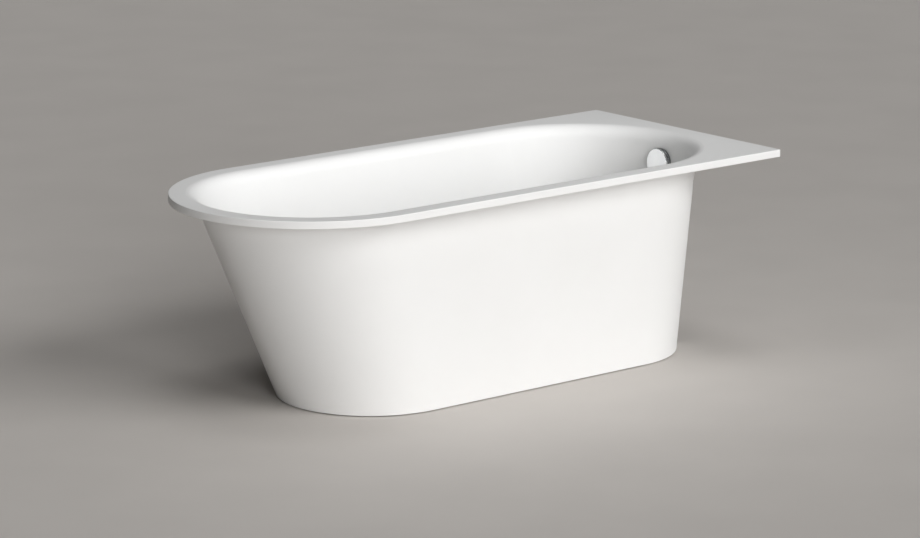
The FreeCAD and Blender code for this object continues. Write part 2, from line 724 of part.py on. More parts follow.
ribs.Axis = (rib_sketch, ["N_Axis"])
ribs.Angle = 120
ribs.Occurrences = 3
flange.Tip = ribs
document.recompute()
hub_sketch = start_sketch(flange, "XY_Plane", "spider_hub_outline", "-flange_sleeve_depth")
draw_circle(hub_sketch, "0", "0", "spider_hub_radius")
document.recompute()
hub = flange.newObject("PartDesign::Pad", "spider_hub")
hub.Profile = hub_sketch
bind(hub, "Length", "spider_hub_height")
document.recompute()
drill(flange, "stem_guide", [("0", "0")], "plug_stem_radius + stem_play", "spider_hub_height + overrun",
      "-flange_sleeve_depth - overrun / 2")
ring("waste_flange_seal", "flange_sleeve_radius + running_gap", "flange_radius - flange_plate / 2",
     "-flange_recess", "-flange_plate", "waste_x", "0", "well_floor")

# Pop-up plug on a stem, with its ring seal, standing just clear of the flange when shut
plug = start_body("waste_plug")
plug_sketch = start_sketch(plug, "XZ_Plane", "waste_plug_profile")
groove = ["plug_seal_circle - plug_seal_radius", "-plug_seal_drop - plug_seal_radius - stem_play",
          "-plug_seal_drop + plug_seal_radius + stem_play"]
draw_outline(plug_sketch, [
    ("0", "-plug_stem_length"), ("plug_stem_radius - plug_stem_chamfer", "-plug_stem_length"),
    ("plug_stem_radius", "plug_stem_chamfer - plug_stem_length"),
    ("plug_stem_radius", "-plug_skirt_depth"), ("plug_skirt_radius", "-plug_skirt_depth"),
    ("plug_skirt_radius", groove[1]), (groove[0], groove[1]), (groove[0], groove[2]),
    ("plug_skirt_radius", groove[2]), ("plug_skirt_radius", "running_gap"), ("plug_radius", "running_gap"),
    ("plug_radius", "running_gap + plug_edge"), ("0", "running_gap + plug_edge + plug_crown"),
])
document.recompute()
plug_turn = plug.newObject("PartDesign::Revolution", "waste_plug_turn")
plug_turn.Profile = plug_sketch
plug_turn.ReferenceAxis = (plug_sketch, ["V_Axis"])
document.recompute()
locate(plug, "waste_x", "0", "well_floor")
seal_body = start_body("plug_seal")
seal_sketch = start_sketch(seal_body, "XZ_Plane", "plug_seal_section")
draw_circle(seal_sketch, "plug_seal_circle", "-plug_seal_drop", "plug_seal_radius")
document.recompute()
seal_turn = seal_body.newObject("PartDesign::Revolution", "plug_seal_turn")
seal_turn.Profile = seal_sketch
seal_turn.ReferenceAxis = (seal_sketch, ["V_Axis"])
document.recompute()
locate(seal_body, "waste_x", "0", "well_floor")

# Waste body under the floor, with a spout down into the trap and a socket for the overflow pipe
ring("waste_body_seal", "drain_hole_radius", "body_flange_radius", "-body_seal_height", "0",
     "waste_x", "0", "shell_under")
spout_end = "-body_bottom_drop - spout_length"
waste_body = turned("waste_body", [
    ("body_bore_radius", "0"), ("body_flange_radius", "0"), ("body_flange_radius", "-body_flange_height"),
    ("body_radius", "-body_flange_height"), ("body_radius", "-body_bottom_drop"),
    ("spout_radius", "-body_bottom_drop"), ("spout_radius", spout_end),
    ("spout_radius - spout_wall", spout_end), ("spout_radius - spout_wall", "-body_bottom_drop + body_floor"),
    ("body_bore_radius", "-body_bottom_drop + body_floor"),
], "waste_x", "0", "body_top")
ALONG_X = FreeCAD.Rotation(Vector(0, 1, 0), 90)
ALONG_Y = FreeCAD.Rotation(Vector(1, 0, 0), -90)


def add_cylinder(body, name, radius, length, rotation, x, y, z, kind="AdditiveCylinder"):
    """A round boss or bore of a body, along a turned axis from a point of the body's own frame."""
    cylinder = body.newObject("PartDesign::" + kind, name)
    bind(cylinder, "Radius", radius)
    bind(cylinder, "Height", length)
    cylinder.Placement = FreeCAD.Placement(Vector(), rotation)
    locate(cylinder, x, y, z)
    document.recompute()
    return cylinder


add_cylinder(waste_body, "inlet_socket", "socket_radius", "inlet_reach", ALONG_X, "0", "0", "-inlet_drop")
lug = waste_body.newObject("PartDesign::AdditiveBox", "cable_lug")
bind(lug, "Length", "lug_width")
bind(lug, "Width", "crank_offset + lug_radius - body_bore_radius")
bind(lug, "Height", "2 * lug_radius")
locate(lug, "-lug_width / 2", "body_bore_radius", "wire_level - body_top - lug_radius")
document.recompute()
add_cylinder(waste_body, "body_bore", "body_bore_radius", "body_bottom_drop - body_floor", FreeCAD.Rotation(),
             "0", "0", "body_floor - body_bottom_drop", "SubtractiveCylinder")
add_cylinder(waste_body, "inlet_bore", "socket_bore", "inlet_reach + overrun", ALONG_X,
             "0", "0", "-inlet_drop", "SubtractiveCylinder")
add_cylinder(waste_body, "axle_bearings", "axle_radius + thread_play", "2 * body_flange_radius", ALONG_Y,
             "axle_x - waste_x", "-body_flange_radius", "axle_level - body_top", "SubtractiveCylinder")
add_cylinder(waste_body, "lug_bore", "cable_radius + running_gap", "2 * lug_width", ALONG_X,
             "0", "crank_offset", "wire_level - body_top", "SubtractiveCylinder")
add_cylinder(waste_body, "lug_wire_hole", "2 * wire_radius", "4 * lug_width", ALONG_X,
             "-2 * lug_width", "crank_offset", "wire_level - body_top", "SubtractiveCylinder")


# Lift lever, its axle and the crank that the control wire pulls
def arm_shape(reach, tip_radius, boss_radius, thickness, bore, tip_bore):
    """A flat arm from an axle at the origin to a rounded tip on +X, centred on Y = 0."""
    along_y = Vector(0, 1, 0)
    low = Vector(0, -thickness / 2, 0)
    sine = (boss_radius - tip_radius) / reach
    cosine = math.sqrt(1 - sine * sine)
    boss_touch = Vector(boss_radius * sine, 0, boss_radius * cosine)
    tip_touch = Vector(reach + tip_radius * sine, 0, tip_radius * cosine)
    tip_end = Vector(tip_touch.x, 0, -tip_touch.z)
    boss_end = Vector(boss_touch.x, 0, -boss_touch.z)
    wire = Part.Wire([
        Part.LineSegment(boss_touch, tip_touch).toShape(),
        Part.Arc(tip_touch, Vector(reach + tip_radius, 0, 0), tip_end).toShape(),
        Part.LineSegment(tip_end, boss_end).toShape(),
        Part.Arc(boss_end, Vector(-boss_radius, 0, 0), boss_touch).toShape(),
    ])
    solid = Part.Face(wire).extrude(along_y * thickness).translated(low)
    for radius, x in ((bore, 0), (tip_bore, reach)):
        if radius:
            solid = solid.cut(Part.makeCylinder(radius, thickness * 2, Vector(x, -thickness, 0), along_y))
    return solid


ARM_FRAME = FreeCAD.Placement(Vector(size("axle_x"), 0, size("axle_level")), FreeCAD.Rotation())


def on_axle(shape, y, angle):
    """An arm hung on the lever's axle, turned down from +X by an angle in degrees."""
    shape.rotate(Vector(), Vector(0, 1, 0), angle)
    return shape.translated(ARM_FRAME.Base + Vector(0, y, 0))


lever = arm_shape(size("lever_arm"), size("lever_tip_radius"), size("lever_boss_radius"), size("lever_width"),
                  size("axle_radius + thread_play"), 0)
feature("lift_lever", on_axle(lever, 0, size("lever_swing / 2")))
crank = arm_shape(size("crank_arm"), size("crank_radius"), size("lever_boss_radius"), size("crank_thickness"),
                  size("axle_radius + thread_play"), 0)
fork_gap = size("wire_radius + running_gap")
fork_corner = Vector(size("crank_arm + crank_radius - crank_slot_depth"), -fork_gap, -size("crank_radius"))
fork_slot = Part.makeBox(size("crank_slot_depth"), 2 * fork_gap, size("2 * crank_radius"), fork_corner)
feature("lever_crank", on_axle(crank.cut(fork_slot), size("crank_offset"), 90 + size("lever_swing / 2")))
axle_back = "(sqrt(body_radius ^ 2 - (waste_x - axle_x) ^ 2) - running_gap)"
lever_axle = document.addObject("Part::Cylinder", "lever_axle")
bind(lever_axle, "Radius", "axle_radius")
bind(lever_axle, "Height", axle_back + " + axle_reach")
lever_axle.Placement = FreeCAD.Placement(Vector(), ALONG_Y)
locate(lever_axle, "axle_x", "-" + axle_back, "axle_level")

# Low trap under the waste: a cup with a weir, its lid, the nut on the waste's spout and the outlet
trap_cup = turned("trap_cup", [
    ("0", "trap_bottom"), ("trap_radius", "trap_bottom"), ("trap_radius", "trap_top - trap_wall"),
    ("trap_radius - trap_wall", "trap_top - trap_wall"),
    ("trap_radius - trap_wall", "trap_bottom + trap_wall"), ("0", "trap_bottom + trap_wall"),
], "waste_x")
weir_half = "sqrt((trap_radius - trap_wall / 2) ^ 2 - (trap_weir_offset + trap_wall) ^ 2)"
weir = trap_cup.newObject("PartDesign::AdditiveBox", "weir")
bind(weir, "Length", "trap_wall")
bind(weir, "Width", "2 * " + weir_half)
bind(weir, "Height", "trap_weir - trap_bottom")
locate(weir, "trap_weir_offset", "-" + weir_half, "trap_bottom")
document.recompute()
OUTLET_BORE = "spout_radius - spout_wall"
add_cylinder(trap_cup, "outlet_stub", "spout_radius", "outlet_stub - trap_weir_offset - trap_wall", ALONG_X,
             "trap_weir_offset + trap_wall", "0", "outlet_level")
add_cylinder(trap_cup, "outlet_bore", OUTLET_BORE, "outlet_stub", ALONG_X,
             "trap_weir_offset + trap_wall", "0", "outlet_level", "SubtractiveCylinder")
turned("trap_lid", [
    ("spout_radius + socket_play", "-trap_wall"), ("trap_radius", "-trap_wall"), ("trap_radius", "0"),
    ("trap_collar_radius", "0"), ("trap_collar_radius", "trap_collar_height"),
    ("spout_radius + socket_play", "trap_collar_height"),
], "waste_x", "0", "trap_top")
turned("trap_nut", [
    ("trap_collar_radius + socket_play", "0"), ("trap_nut_radius", "0"),
    ("trap_nut_radius", "trap_nut_height"), ("spout_radius + socket_play", "trap_nut_height"),
    ("spout_radius + socket_play", "trap_collar_height"),
    ("trap_collar_radius + socket_play", "trap_collar_height"),
], "waste_x", "0", "trap_top")


def tube_along_x(label, inner, outer, length, x, z):
    """A plain tube lying along +X from x, its axis at height z over the middle line."""
    body = start_body(label)
    sketch = start_sketch(body, "YZ_Plane", label + "_section")
    draw_circle(sketch, "0", "0", outer)
    draw_circle(sketch, "0", "0", inner)
    document.recompute()
    pad = body.newObject("PartDesign::Pad", label + "_pad")
    pad.Profile = sketch
    bind(pad, "Length", length)
    document.recompute()
    locate(body, x, "0", z)
    return body


coupling = tube_along_x("outlet_coupling", "spout_radius - spigot_step + socket_play",
                        "spout_radius + coupling_wall", "coupling_length",
                        "waste_x + outlet_stub - coupling_length / 2", "outlet_level")
add_cylinder(coupling, "stub_socket", "spout_radius + socket_play", "coupling_length / 2", ALONG_X,
             "0", "0", "0", "SubtractiveCylinder")
outlet_pipe = tube_along_x("outlet_pipe", OUTLET_BORE, "spout_radius",
                           "outlet_end - outlet_stub - spigot_reach",
                           "waste_x + outlet_stub + spigot_reach", "outlet_level")
add_cylinder(outlet_pipe, "spigot", "spout_radius - spigot_step", "spigot_reach", ALONG_X,
             "running_gap - spigot_reach", "0", "0")
add_cylinder(outlet_pipe, "spigot_bore", OUTLET_BORE, "spigot_reach + overrun", ALONG_X,
             "-spigot_reach", "0", "0", "SubtractiveCylinder")
tube_along_x("pipe_nut_bottom", "socket_radius + socket_play", "socket_radius + pipe_nut_wall",
             "pipe_nut_length", "waste_x + inlet_reach - pipe_nut_length", "inlet_level")

# Overflow behind the foot wall: elbow, seal, spindle bush, posts for the screws and the spout for the pipe
seat_on_overflow(ring("overflow_elbow_seal", "trim_liner_radius + running_gap", "elbow_flange_radius",
                      "-elbow_seal_height", "0"), "-seat_wall")
elbow = turned("overflow_elbow", [
    ("spindle_radius + thread_play", "-elbow_depth"), ("elbow_radius", "-elbow_depth"),
    ("elbow_radius", "-elbow_flange_height"), ("elbow_flange_radius", "-elbow_flange_height"),
    ("elbow_flange_radius", "0"), ("elbow_radius - elbow_wall", "0"),
    ("elbow_radius - elbow_wall", "elbow_wall - elbow_depth"),
    ("elbow_bush_radius", "elbow_wall - elbow_depth"),
    ("elbow_bush_radius", "elbow_wall + elbow_bush_height - elbow_depth"),
    ("spindle_radius + thread_play", "elbow_wall + elbow_bush_height - elbow_depth"),
])
DOWN_X = FreeCAD.Rotation(Vector(0, 1, 0), -90)
inner_reach = "sqrt((elbow_radius - elbow_wall) ^ 2 - socket_radius ^ 2)"
add_cylinder(elbow, "elbow_spout", "socket_radius", "elbow_spout_reach - " + inner_reach, DOWN_X,
             "-" + inner_reach, "0", "-elbow_spout_inset")
add_cylinder(elbow, "elbow_spout_bore", "socket_bore", "elbow_spout_reach + overrun - elbow_bush_radius",
             DOWN_X, "-elbow_bush_radius", "0", "-elbow_spout_inset", "SubtractiveCylinder")
for side in ("", "-"):
    post_y = side + "trim_port_circle"
    mark = "far" if not side else "near"
    add_cylinder(elbow, mark + "_post", "elbow_post_radius", "elbow_wall + elbow_post_height",
                 FreeCAD.Rotation(), "0", post_y, "-elbow_depth")
    add_cylinder(elbow, mark + "_post_hole", "trim_screw_radius + thread_play", "elbow_post_height",
                 FreeCAD.Rotation(), "0", post_y, "elbow_wall - elbow_depth + overrun", "SubtractiveCylinder")
# Bracket behind the elbow: the cable's sheath rests in it and the bare wire goes on to the drum
elbow_lug = elbow.newObject("PartDesign::AdditiveBox", "elbow_lug")
bind(elbow_lug, "Length", "2 * lug_width")
bind(elbow_lug, "Width", "2 * lug_radius")
bind(elbow_lug, "Height", "elbow_wall - elbow_depth + lug_radius - drum_middle + elbow_front")
locate(elbow_lug, "-elbow_radius - lug_width", "wire_line - lug_radius",
       "drum_middle - elbow_front - lug_radius")
document.recompute()
add_cylinder(elbow, "elbow_lug_bore", "cable_radius + running_gap", "2 * lug_width", DOWN_X,
             "-elbow_radius - lug_width / 2", "wire_line", "drum_middle - elbow_front", "SubtractiveCylinder")
add_cylinder(elbow, "elbow_lug_wire_hole", "2 * wire_radius", "4 * lug_width", DOWN_X,
             "lug_width - elbow_radius", "wire_line", "drum_middle - elbow_front", "SubtractiveCylinder")
seat_on_overflow(elbow, "elbow_front")

# Chrome trim of the overflow in the well, held by two screws, and its flat round turning knob
seat_on_overflow(ring("overflow_trim_seal", "trim_radius - trim_seal_width", "trim_radius - trim_wall / 2",
                      "0", "trim_seal_height"))
liner_bore = "trim_liner_radius - trim_liner_wall"
trim = turned("overflow_trim", [
    ("spindle_radius + thread_play", "0"), (liner_bore, "0"), (liner_bore, "-trim_liner_depth"),
    ("trim_liner_radius", "-trim_liner_depth"), ("trim_liner_radius", "0"), ("trim_radius", "0"),
    ("trim_radius", "trim_depth"), ("trim_radius - trim_wall", "trim_depth"),
    ("trim_radius - trim_wall", "trim_plate"), ("trim_hub_radius", "trim_plate"),
    ("trim_hub_radius", "trim_hub_height"), ("spindle_radius + thread_play", "trim_hub_height"),
])
port_sketch = start_sketch(trim, "XY_Plane", "trim_port_outline", "-overrun")
draw_circle(port_sketch, "trim_port_circle * cos(45)", "trim_port_circle * sin(45)", "trim_port_radius")
document.recompute()
port = trim.newObject("PartDesign::Pocket", "trim_port")
port.Profile = port_sketch
port.Reversed = True
bind(port, "Length", "trim_plate + 2 * overrun")
document.recompute()
ports = trim.newObject("PartDesign::PolarPattern", "trim_ports")
ports.Originals = [port]
ports.Axis = (port_sketch, ["N_Axis"])
ports.Angle = 360
bind(ports, "Occurrences", "trim_port_count")
trim.Tip = ports
document.recompute()
drill(trim, "trim_screw_holes", [("0", "trim_port_circle"), ("0", "-trim_port_circle")],
      "trim_screw_radius + running_gap", "trim_plate + 2 * overrun", "-overrun")
round_edges(trim, "trim_edge", "trim_wall / 3", lambda edge: lies_at(edge, size("trim_depth")))
seat_on_overflow(trim, "trim_seal_height")

trim_screw = screw_shape(size("trim_screw_radius"), size("trim_screw_depth"), size("trim_screw_head_radius"),
                         size("trim_screw_head_height"))
trim_screw.rotate(Vector(), Vector(1, 0, 0), 180)
screws = Part.makeCompound([trim_screw.translated(Vector(0, side * size("trim_port_circle"), 0))
                            for side in (-1, 1)])
feature("overflow_screws", screws).Placement = on_overflow("trim_seal_height + trim_plate")

knob = turned("overflow_knob", [
    ("0", "knob_socket_depth"), ("spindle_radius + thread_play", "knob_socket_depth"),
    ("spindle_radius + thread_play", "0"), ("knob_radius", "0"), ("knob_radius", "knob_thickness"),
    ("0", "knob_thickness"),
])
round_edges(knob, "knob_rim", "knob_edge_round", lambda edge: edge.BoundBox.XLength > size("knob_radius"))
seat_on_overflow(knob, "knob_back")
spindle = document.addObject("Part::Cylinder", "knob_spindle")
bind(spindle, "Radius", "spindle_radius")
bind(spindle, "Height", "knob_back + knob_socket_depth - drum_front + drum_width")
seat_on_overflow(spindle, "drum_front - drum_width")
seat_on_overflow(turned("cable_drum", [
    ("spindle_radius + thread_play", "-drum_width"), ("drum_flange_radius", "-drum_width"),
    ("drum_flange_radius", "drum_flange_width - drum_width"),
    ("drum_radius", "drum_flange_width - drum_width"), ("drum_radius", "-drum_flange_width"),
    ("drum_flange_radius", "-drum_flange_width"),
    ("drum_flange_radius", "0"), ("spindle_radius + thread_play", "0"),
]), "drum_front")


def bent_path(points, radii=None):
    """Straight runs through points joined by tangent arcs, each as large as its two runs allow."""
    edges = []
    start = points[0]
    for index in range(1, len(points) - 1):
        corner = points[index]
        before, after = corner - points[index - 1], points[index + 1] - corner
        turn = before.getAngle(after)
        shorter = min(before.Length, after.Length)
        radius = radii or 0.45 * shorter / math.tan(turn / 2)
        trim_back = radius * math.tan(turn / 2)
        before.normalize()
        after.normalize()
        first, last = corner - before * trim_back, corner + after * trim_back
        inward = (after - before).normalize()
        middle = corner + inward * (radius / math.cos(turn / 2) - radius)
        edges.append(Part.LineSegment(start, first).toShape())
        edges.append(Part.Arc(first, middle, last).toShape())
        print("bend radius %.1f mm, turn %.1f degrees" % (radius, math.degrees(turn)))
        start = last
    edges.append(Part.LineSegment(start, points[-1]).toShape())
    return Part.Wire(edges)


def tube_on(path, outer, inner=0):
    """A tube of round section along a path, checked against its section times its length."""
    start, direction = path.Edges[0].valueAt(path.Edges[0].FirstParameter), path.Edges[0].tangentAt(0)
    solids = []
    for radius in (outer, inner):
        if radius:
            profile = Part.Wire([Part.Circle(start, direction, radius).toShape()])
            solid = path.makePipeShell([profile], True, False, 2)
            expected = math.pi * radius ** 2 * path.Length
            if abs(solid.Volume / expected - 1) > 0.01:
                raise ValueError("a tube's volume %.0f is not %.0f" % (solid.Volume, expected))
            solids.append(solid)
    return solids[0].cut(solids[1]) if inner else solids[0]


# Overflow pipe: down behind the foot wall, parallel to it, and round a wide knee into the waste body
pipe_start = on_overflow("elbow_spout_axis").multVec(Vector(size("pipe_insert - elbow_spout_reach"), 0, 0))
wall_slope = math.tan(math.radians(size("foot_rake")))
pipe_corner = Vector(pipe_start.x - (pipe_start.z - size("inlet_level")) * wall_slope, 0, size("inlet_level"))
pipe_end = Vector(size("waste_x + inlet_reach - pipe_insert"), 0, size("inlet_level"))
pipe_path = bent_path([pipe_start, pipe_corner, pipe_end], size("pipe_knee_radius"))
feature("overflow_pipe", tube_on(pipe_path, size("pipe_radius"), size("pipe_radius - pipe_wall")))
top_nut = ring("pipe_nut_top", "socket_radius + socket_play", "socket_radius + pipe_nut_wall",
               "0", "pipe_nut_length")
top_nut.Placement = on_overflow("elbow_spout_axis").multiply(
    FreeCAD.Placement(Vector(-size("elbow_spout_reach"), 0, 0), FreeCAD.Rotation(Vector(0, 1, 0), 90)))

# Control cable from the drum down to the waste body, held at both ends, with its wire in two short tails
cable_top = on_overflow("drum_middle").multVec(
    Vector(-size("elbow_radius + lug_width / 2 + running_gap"), size("wire_line"), 0))
cable_bottom = Vector(size("waste_x + running_gap"), size("crank_offset"), size("wire_level"))
cable_drop = cable_top.z - cable_bottom.z
# Beside the overflow pipe: share of the drop, distance from the middle line, set-back from the wall's slope
CABLE_DOWN = ((0.122, 7.5, 0.5), (0.326, 12, 0.5), (0.539, 21, 2.5), (0.743, 30, 7.5))
# Under the well: distance from the waste along X, from the middle line, and height above the crank's wire
CABLE_ALONG = ((198, 38, 28.5), (141, 41, 4.5), (73, 38, 1), (33, 34.5, 0.5))
cable_route = [cable_top]
for share, aside, back in CABLE_DOWN:
    cable_route.append(Vector(cable_top.x - back - share * cable_drop * wall_slope, aside,
                              cable_top.z - share * cable_drop))
for along, aside, above in CABLE_ALONG:
    cable_route.append(Vector(size("waste_x") + along, aside, cable_bottom.z + above))
cable_route.append(cable_bottom)
cable_path = bent_path(cable_route)
feature("control_cable", tube_on(cable_path, size("cable_radius")))
wire_top = on_overflow("drum_middle").multVec(Vector(-size("running_gap"), size("wire_line"), 0))
wire_bottom = Vector(size("nipple_x"), cable_bottom.y, cable_bottom.z)
nipple = Part.makeCylinder(size("wire_nipple_radius"), size("wire_nipple_length"), wire_bottom,
                           Vector(-1, 0, 0))
feature("control_wire", Part.makeCompound([
    Part.makeCylinder(size("wire_radius"), (end - start).Length, start, end - start)
    for start, end in ((cable_top, wire_top), (cable_bottom, wire_bottom))] + [nipple]))

# Each piece is written by itself once the whole model is sound
document.recompute()
for thing in document.Objects:
    if "Invalid" in thing.State or "Error" in thing.State:
        raise ValueError("%s did not build: %s" % (thing.Label, thing.State))
NODE_KINDS = ("PartDesign::Body", "Part::Feature", "Part::Cylinder")
nodes = [thing for thing in document.Objects if thing.TypeId in NODE_KINDS]
os.makedirs("parts", exist_ok=True)
for node in nodes:
    if node.Shape.isNull() or not node.Shape.isValid():
        raise ValueError(node.Label + " has no sound shape")
for node in nodes:
    node.Shape.exportStep("parts/" + node.Label + ".step")
    print("%-20s %9.1f cm3" % (node.Label, node.Shape.Volume / 1000))
print(len(nodes), "nodes")
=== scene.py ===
import bpy
import bmesh
import json
import math
from mathutils import Matrix, Vector


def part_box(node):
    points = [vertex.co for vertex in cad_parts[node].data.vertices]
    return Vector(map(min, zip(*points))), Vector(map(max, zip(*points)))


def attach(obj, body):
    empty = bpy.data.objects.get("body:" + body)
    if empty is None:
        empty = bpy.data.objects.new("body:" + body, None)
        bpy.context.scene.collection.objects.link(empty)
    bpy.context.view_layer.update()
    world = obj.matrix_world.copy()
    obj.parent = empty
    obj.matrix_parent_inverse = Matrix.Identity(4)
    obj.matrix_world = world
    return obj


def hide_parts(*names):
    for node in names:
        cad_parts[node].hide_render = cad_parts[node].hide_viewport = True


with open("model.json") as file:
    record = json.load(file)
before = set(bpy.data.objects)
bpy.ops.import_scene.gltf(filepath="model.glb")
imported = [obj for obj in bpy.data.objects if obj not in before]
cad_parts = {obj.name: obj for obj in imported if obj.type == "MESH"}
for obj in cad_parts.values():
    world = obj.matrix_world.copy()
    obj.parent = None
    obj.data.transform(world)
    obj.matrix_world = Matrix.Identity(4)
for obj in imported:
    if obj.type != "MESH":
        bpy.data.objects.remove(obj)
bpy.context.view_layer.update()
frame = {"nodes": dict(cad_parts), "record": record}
parts = frame["nodes"]


# Basin: the wide flat rim and the bathing well in one casting. It is stone resin, a mineral-filled
# gel poured between two moulds, so the whole surface is one matt white, sanded to a silky touch.
def new_finish(name):
    """A material with its shader and the object's own coordinates ready."""
    finish = bpy.data.materials.new(name)
    finish.use_nodes = True
    tree = finish.node_tree
    shader = tree.nodes["Principled BSDF"]
    place = tree.nodes.new("ShaderNodeTexCoord")
    return finish, tree, shader, place.outputs["Object"]


def grain(tree, place, scale, detail=3.0, stretch=(1, 1, 1)):
    """A cloudy pattern of the given fineness, stretched along an axis where the real one runs."""
    mapping = tree.nodes.new("ShaderNodeMapping")
    mapping.inputs["Scale"].default_value = stretch
    tree.links.new(place, mapping.inputs["Vector"])
    noise = tree.nodes.new("ShaderNodeTexNoise")
    noise.inputs["Scale"].default_value = scale
    noise.inputs["Detail"].default_value = detail
    tree.links.new(mapping.outputs["Vector"], noise.inputs["Vector"])
    return noise.outputs["Fac"]


def tones(tree, pattern, dark, light, low=0.35, high=0.65):
    """Two colours mixed by a pattern."""
    ramp = tree.nodes.new("ShaderNodeValToRGB")
    ramp.color_ramp.elements[0].position = low
    ramp.color_ramp.elements[0].color = (*dark, 1)
    ramp.color_ramp.elements[1].position = high
    ramp.color_ramp.elements[1].color = (*light, 1)
    tree.links.new(pattern, ramp.inputs["Fac"])
    return ramp.outputs["Color"]


def spread(tree, pattern, low, high):
    """A pattern turned into numbers from low to high."""
    scale = tree.nodes.new("ShaderNodeMapRange")
    scale.inputs["To Min"].default_value = low
    scale.inputs["To Max"].default_value = high
    tree.links.new(pattern, scale.inputs["Value"])
    return scale.outputs["Result"]


def relief(tree, shader, pattern, height, strength=1.0):
    """Presses a pattern into the surface, its height in metres."""
    bump = tree.nodes.new("ShaderNodeBump")
    bump.inputs["Distance"].default_value = height
    bump.inputs["Strength"].default_value = strength
    tree.links.new(pattern, bump.inputs["Height"])
    tree.links.new(bump.outputs["Normal"], shader.inputs["Normal"])


def dress(node, finish):
    """Gives one carried-over solid its finish."""
    slots = parts[node].data.materials
    slots.clear()
    slots.append(finish)


stone_light, stone_dark = (0.880, 0.880, 0.872), (0.868, 0.867, 0.858)
stone, tree, shader, place = new_finish("matt_stone_resin")
tree.links.new(tones(tree, grain(tree, place, 5.0), stone_dark, stone_light), shader.inputs["Base Color"])
tree.links.new(spread(tree, grain(tree, place, 38.0), 0.54, 0.64), shader.inputs["Roughness"])
relief(tree, shader, grain(tree, place, 900.0, 2.0), 0.00002, 0.35)
shader.inputs["IOR"].default_value = 1.52
dress("basin", stone)

# Skirt: the smooth outer shell, cast of the same stone resin and bonded under the rim.
# Its straight walls taper to a narrower base, and a thin hollow bead of filler closes the seam at the top.
dress("skirt", stone)


def ring_mesh(name, stacks):
    """A mesh of quads over stacks of rings; a stack that isn't closed in itself gets two end faces."""
    points, quads = [], []
    for place, rings, closed in stacks:
        count, first = len(rings[0]), len(points)
        points += [place @ point for ring in rings for point in ring]
        for i in range(len(rings) if closed else len(rings) - 1):
            low, high = first + i * count, first + (i + 1) % len(rings) * count
            for k in range(count):
                quads.append((low + k, low + (k + 1) % count, high + (k + 1) % count, high + k))
        if not closed:
            quads += [tuple(range(first + count - 1, first - 1, -1)),
                      tuple(range(len(points) - count, len(points)))]
    mesh = bpy.data.meshes.new(name)
    mesh.from_pydata(points, [], quads)
    return mesh


def show(name, mesh, finish, material_slot, body, *nodes):
    """Puts a mesh in the scene with its finish, smooth but for its sharp edges."""
    mesh.shade_smooth()
    mesh.set_sharp_from_angle(angle=math.radians(38))
    mesh.materials.append(finish)
    piece = bpy.data.objects.new(name, mesh)
    bpy.context.scene.collection.objects.link(piece)
    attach(piece, body)
    if nodes:
        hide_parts(*nodes)
    return piece


def skin(name, stacks, finish, material_slot, body, *nodes):
    """A piece made of stacks of rings; it rides on a body and stands for CAD nodes."""
    return show(name, ring_mesh(name, stacks), finish, material_slot, body, *nodes)


def oval(radius, height, head, foot, steps=96):
    """One ring of points: half circles about the two centres, joined by straight sides."""
    points = []
    for k in range(steps + 1):
        angle = math.pi / 2 + math.pi * k / steps
        points.append(Vector((head + radius * math.cos(angle), radius * math.sin(angle), height)))
    for k in range(steps + 1):
        angle = -math.pi / 2 + math.pi * k / steps
        points.append(Vector((foot + radius * math.cos(angle), radius * math.sin(angle), height)))
    return points


seam_level, seam_head, seam_foot, seam_radius, bead = 0.540, -0.450, 0.445, 0.3074, 0.0011
bead_profile = ((-0.0004, -0.00005), (-0.0005, -bead), (0.2 * bead, -0.35 * bead), (bead, -0.00005))
bead_rings = [oval(seam_radius + out, seam_level + up, seam_head, seam_foot) for out, up in bead_profile]
skin("skirt_seam_filler", [(Matrix(), bead_rings, True)], stone, "stone_resin", "bath")

# Boards under the well's floor: birch plywood, cut square and bonded to the casting.
# The plies show as thin darker lines round the sawn edges.
birch_light, birch_dark = (0.60, 0.43, 0.26), (0.47, 0.31, 0.17)
plywood, tree, shader, place = new_finish("birch_plywood")
plies = tree.nodes.new("ShaderNodeTexWave")
plies.bands_direction = "Z"
ply_thickness, board_top, wave_turns = 0.0015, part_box("head_board")[1][2], 20
plies.inputs["Scale"].default_value = 2 * math.pi / (wave_turns * ply_thickness)
plies.inputs["Phase Offset"].default_value = math.pi - 2 * math.pi * board_top / ply_thickness
tree.links.new(place, plies.inputs["Vector"])
wood = tones(tree, grain(tree, place, 6.0, 6.0, (1, 14, 30)), birch_dark, birch_light, 0.3, 0.7)
glue_lines = tree.nodes.new("ShaderNodeMixRGB")
glue_lines.inputs["Color1"].default_value = (0.20, 0.11, 0.05, 1)
tree.links.new(wood, glue_lines.inputs["Color2"])
tree.links.new(tones(tree, plies.outputs["Fac"], (0, 0, 0), (1, 1, 1), 0.02, 0.25), glue_lines.inputs["Fac"])
tree.links.new(glue_lines.outputs["Color"], shader.inputs["Base Color"])
tree.links.new(spread(tree, grain(tree, place, 60.0), 0.5, 0.7), shader.inputs["Roughness"])
relief(tree, shader, grain(tree, place, 40.0, 4.0, (1, 10, 10)), 0.0002, 0.5)
dress("head_board", plywood)
dress("foot_board", plywood)

